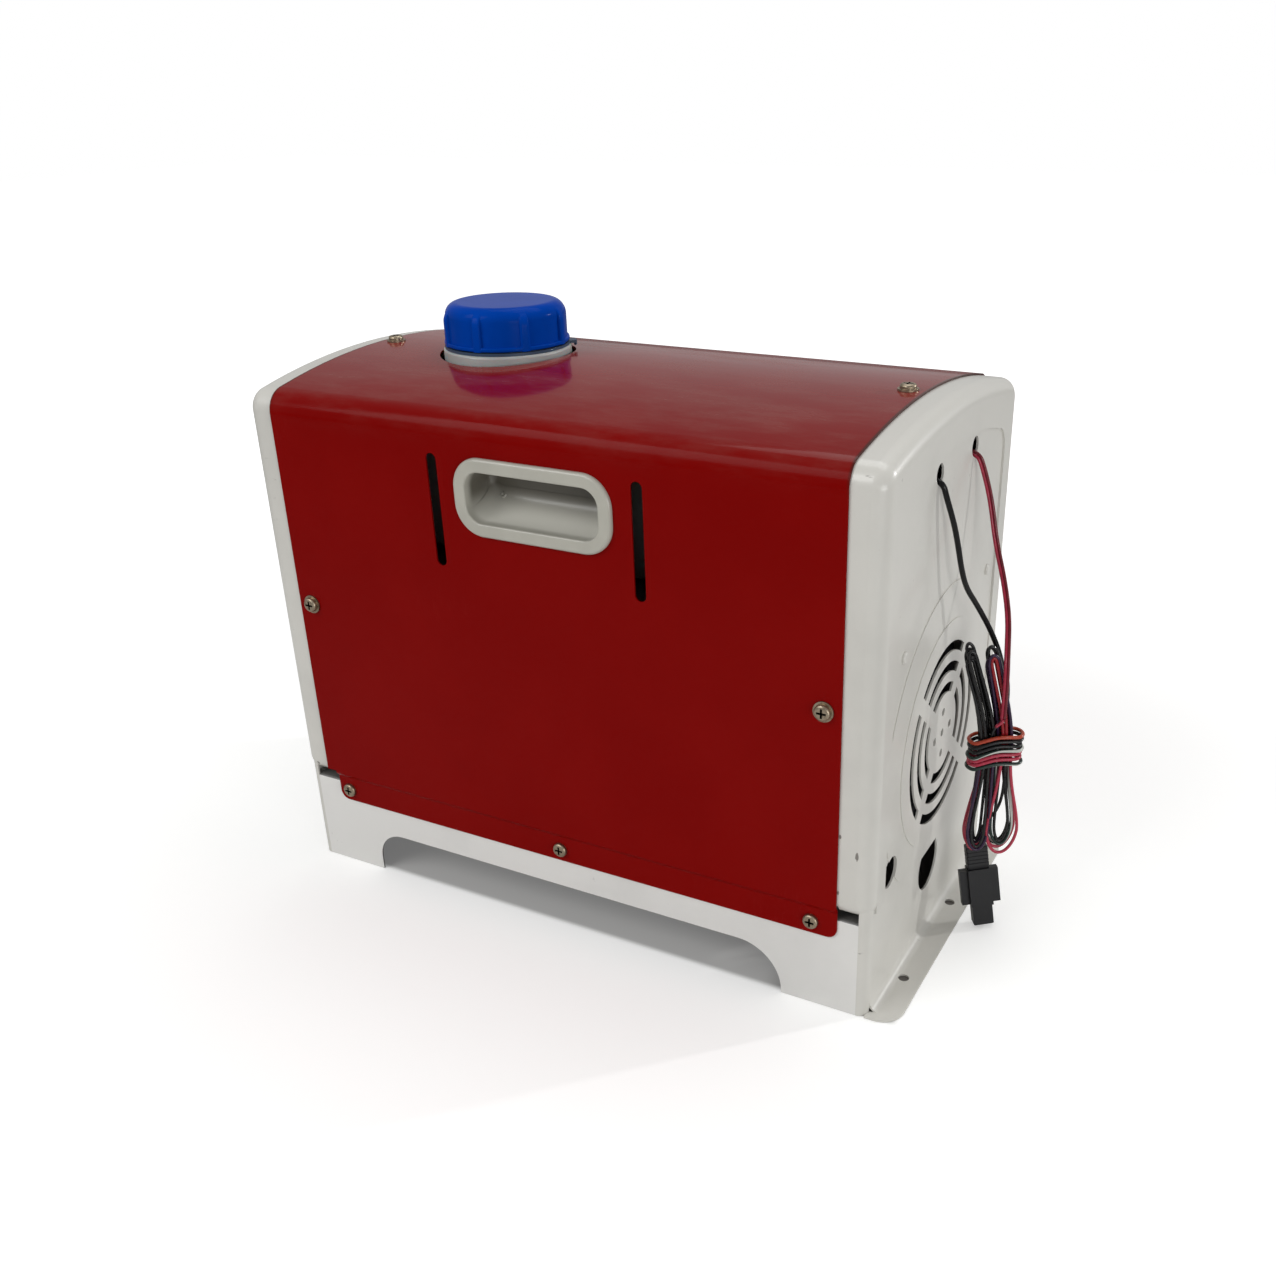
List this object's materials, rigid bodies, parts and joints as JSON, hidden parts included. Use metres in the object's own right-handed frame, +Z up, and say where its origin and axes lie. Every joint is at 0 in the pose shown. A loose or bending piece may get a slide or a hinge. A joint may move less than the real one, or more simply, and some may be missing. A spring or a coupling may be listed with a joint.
{
  "type": "diesel air heater",
  "caption": "Self-contained diesel air heater: red sheet cover between white end panels, blue fuel filler cap on top, round intake grille and bundled leads at one end.",
  "frame": {"origin": "middle of the footprint of the heater without its leads, on the floor", "axes": "+X towards the intake grille and the leads, -Y towards the front with the red strip and hand pocket shown in the picture, +Z up"},
  "size_m": [0.4681, 0.2272, 0.363],
  "materials": {
    "white_steel": "gloss powder coat, off-white",
    "red_steel": "gloss paint, deep red",
    "white_moulding": "moulded, satin gloss",
    "zinc": "zinc plated",
    "zinc_sheet": "zinc plated sheet",
    "rubber": "matte",
    "tank_plastic": "blow moulded, milky",
    "blue_plastic": "moulded, glossy",
    "cast_aluminium": "as cast",
    "fibre": "pressed fibre",
    "stainless": "plain",
    "magnet": "ground",
    "armature": "laminated",
    "black_plastic": "moulded",
    "board": "coated board",
    "copper": "enamelled wire",
    "clear_plastic": "moulded",
    "cable_black": "extruded sheath",
    "cable_red": "extruded sheath",
    "connector_plastic": "moulded"
  },
  "bodies": {
    "heater": {"base_frame": "white_steel", "right_end_panel": "white_steel", "left_end_panel": "white_steel", "red_cover": "red_steel", "front_handle": "white_moulding", "rear_handle": "white_moulding", "panel_screws": "zinc", "cover_washers": "zinc", "tank_tray": "zinc_sheet", "tray_rivets": "zinc", "tank_pads": "rubber", "fuel_tank": "tank_plastic", "tank_straps": "zinc_sheet", "inner_screws": "zinc", "tamper_ring": "blue_plastic", "heat_exchanger": "cast_aluminium", "mount_gasket": "fibre", "mount_nuts": "zinc", "exhaust_pipe": "stainless", "burner_gasket": "fibre", "burner_tube": "stainless", "glow_plug": "stainless", "fuel_pipe": "stainless", "heat_sensor": "stainless", "blower_housing": "cast_aluminium", "housing_bolts": "zinc", "motor_can": "zinc_sheet", "motor_magnets": "magnet", "shaft_bearings": "stainless", "lower_casing": "black_plastic", "upper_casing": "black_plastic", "outlet_hood": "black_plastic", "intake_guard": "black_plastic", "control_case": "black_plastic", "circuit_board": "board", "pump_body": "zinc_sheet", "pump_coil": "copper", "pump_spring": "stainless", "pump_sleeve": "rubber", "pump_bracket": "zinc_sheet", "fuel_filter": "clear_plastic", "fuel_hoses": "rubber", "inner_leads": "cable_black", "black_lead": "cable_black", "red_lead": "cable_red", "hank_left": "cable_black", "hank_right": "cable_red", "hank_tie": "cable_red", "connector_leads": "cable_black", "connector_plug": "connector_plastic", "connector_shroud": "connector_plastic", "connector_socket": "connector_plastic"},
    "rotor": {"rotor_shaft": "stainless", "motor_armature": "armature", "combustion_wheel": "cast_aluminium", "intake_impeller": "black_plastic"},
    "plunger": {"pump_plunger": "stainless"},
    "seal": {"cap_seal": "rubber"},
    "cap": {"filler_cap": "blue_plastic"}
  },
  "joints": [
    {"name": "rotor_spin", "type": "hinge", "parent": "heater", "child": "rotor", "pos_m": [0.112, 0, 0.1335], "axis": [1, 0, 0], "continuous": true},
    {"name": "plunger_slide", "type": "slide", "parent": "heater", "child": "plunger", "axis": [1, 0, 0], "range_m": [0, 0.003], "stiffness_N_per_m": 300, "springref_m": -0.002, "deforming": ["pump_spring"]},
    {"name": "cap_lift", "type": "slide", "parent": "heater", "child": "seal", "axis": [0, 0, 1], "range_m": [0, 0.018]},
    {"name": "cap_turn", "type": "hinge", "parent": "seal", "child": "cap", "pos_m": [-0.088, 0, 0.35], "axis": [0, 0, 1], "range_deg": [0, 1080]}
  ],
  "couplings": [
    {"joint": "cap_lift", "follows": "cap_turn", "m_per_rad": 0.000954}
  ]
}
